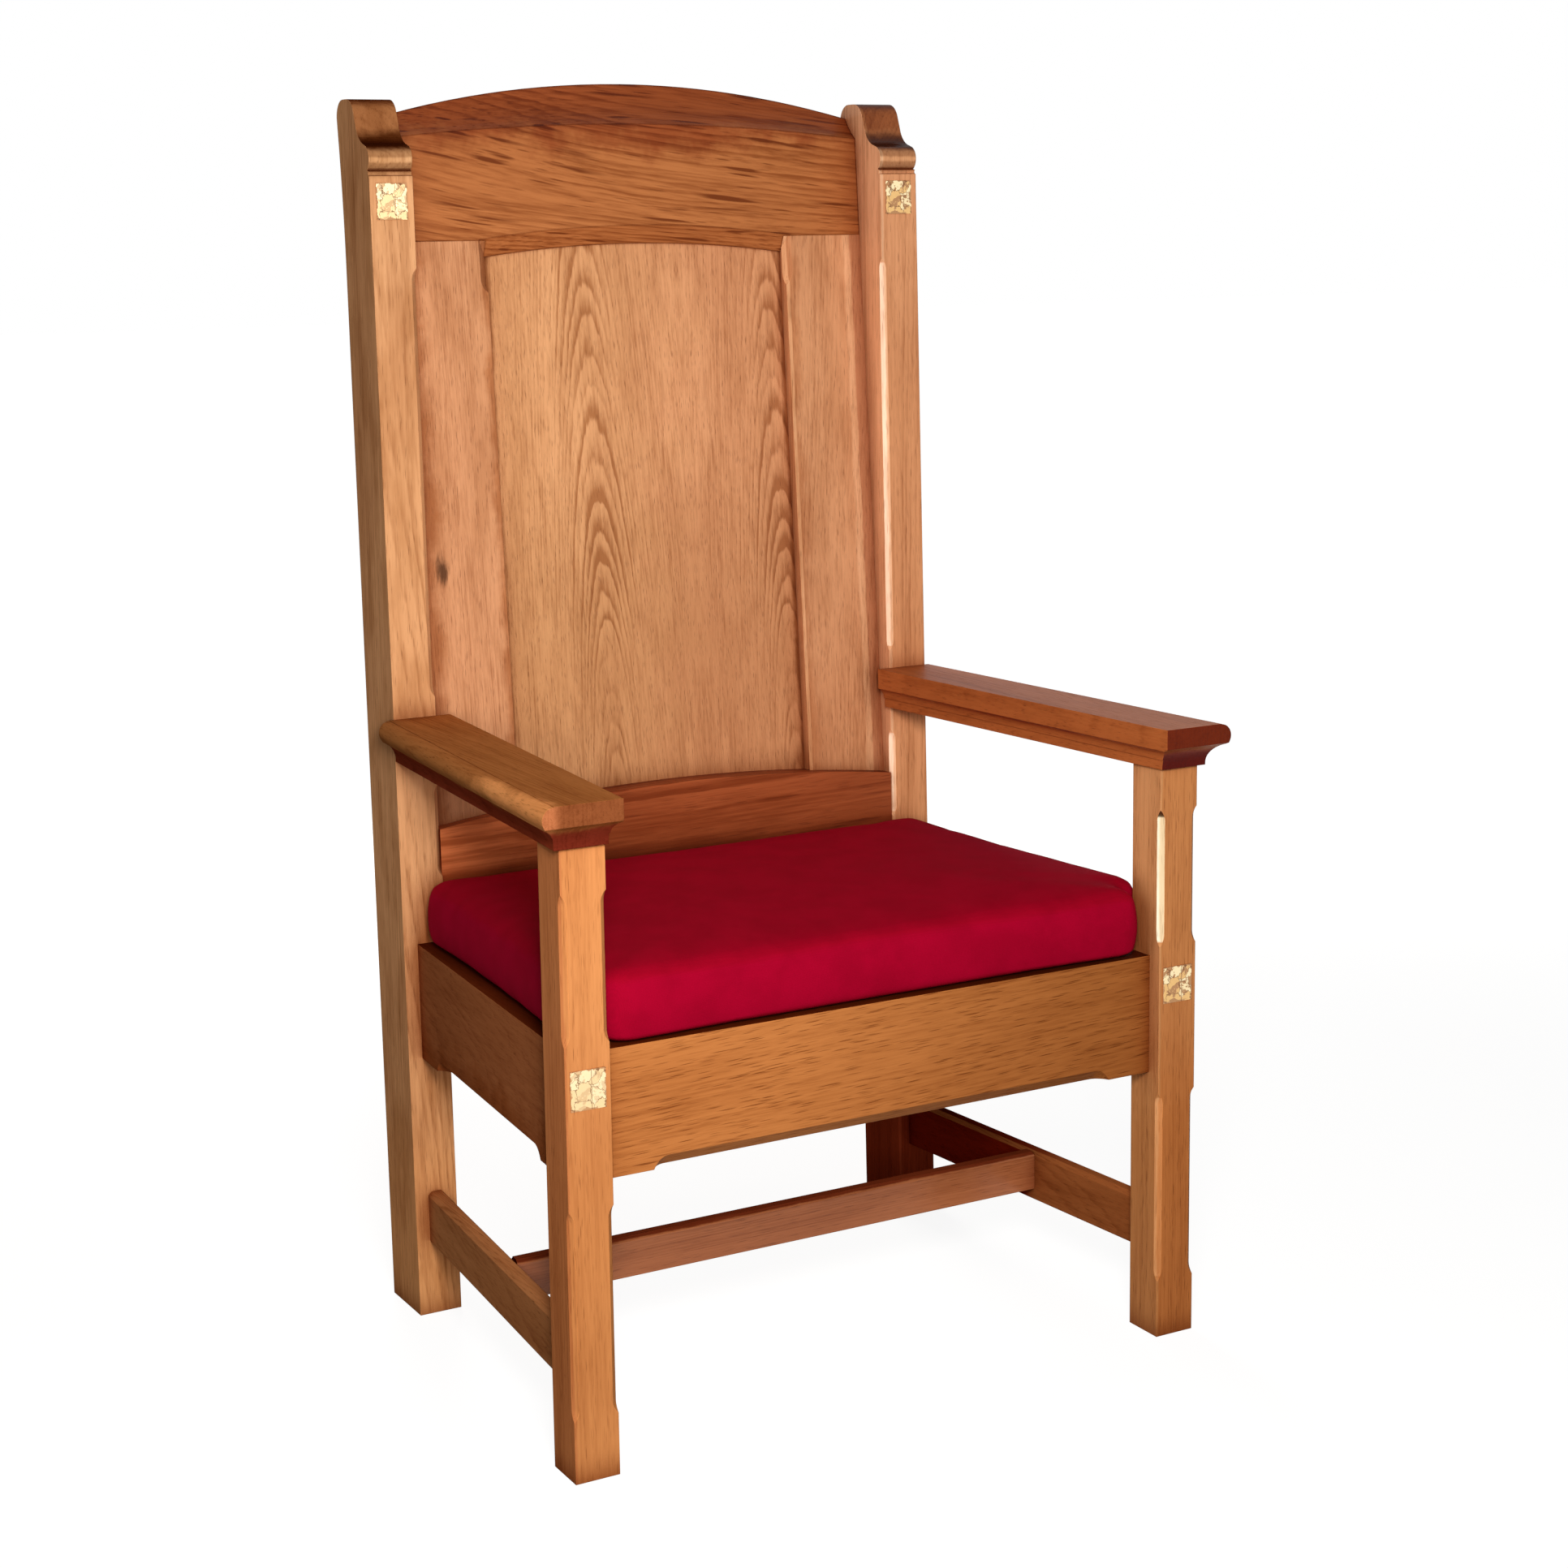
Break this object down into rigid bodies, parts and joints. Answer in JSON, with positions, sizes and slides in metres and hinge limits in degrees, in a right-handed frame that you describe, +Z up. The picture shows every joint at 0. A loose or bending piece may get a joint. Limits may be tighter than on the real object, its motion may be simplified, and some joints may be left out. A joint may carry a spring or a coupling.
{
  "type": "celebrant chair",
  "caption": "High-backed oak armchair for a sanctuary, with a framed panel back, moulded arms, deep seat rails, an H stretcher, gilded squares and a loose box cushion.",
  "frame": {"origin": "on the floor, under the middle of the bounding box", "axes": "+Z up, +X to the viewer's right as the chair is seen from the front, the front faces -Y"},
  "size_m": [0.7552, 0.5876, 1.2901],
  "materials": {
    "oak": "oiled honey-brown oak",
    "gilding": "worn gold leaf on wood",
    "birch_board": "bare birch plywood",
    "pine": "bare pine",
    "steel": "bright steel",
    "cushion_cloth": "plain crimson upholstery cloth over foam"
  },
  "bodies": {
    "frame": {"back_post_left": "oak", "back_post_right": "oak", "front_leg_left": "oak", "front_leg_right": "oak", "front_seat_rail": "oak", "rear_seat_rail": "oak", "side_seat_rail_left": "oak", "side_seat_rail_right": "oak", "side_stretcher_left": "oak", "side_stretcher_right": "oak", "cross_stretcher": "oak", "arm_left": "oak", "arm_right": "oak", "crest_rail": "oak", "lower_back_rail": "oak", "back_stile_left": "oak", "back_stile_right": "oak", "back_panel": "oak", "post_tile_left": "gilding", "post_tile_right": "gilding", "leg_tile_left": "gilding", "leg_tile_right": "gilding", "seat_board": "birch_board", "seat_bearer_front": "pine", "seat_bearer_rear": "pine", "seat_bearer_left": "pine", "seat_bearer_right": "pine", "corner_block_front_left": "pine", "corner_block_front_right": "pine", "corner_block_rear_left": "pine", "corner_block_rear_right": "pine", "corner_block_screws": "steel", "bearer_screws": "steel", "board_screws": "steel"},
    "cushion": {"cushion": "cushion_cloth"}
  },
  "joints": [
    {"name": "cushion_lift", "type": "slide", "parent": "frame", "child": "cushion", "axis": [0, 0, 1], "range_m": [0, 0.1]}
  ]
}
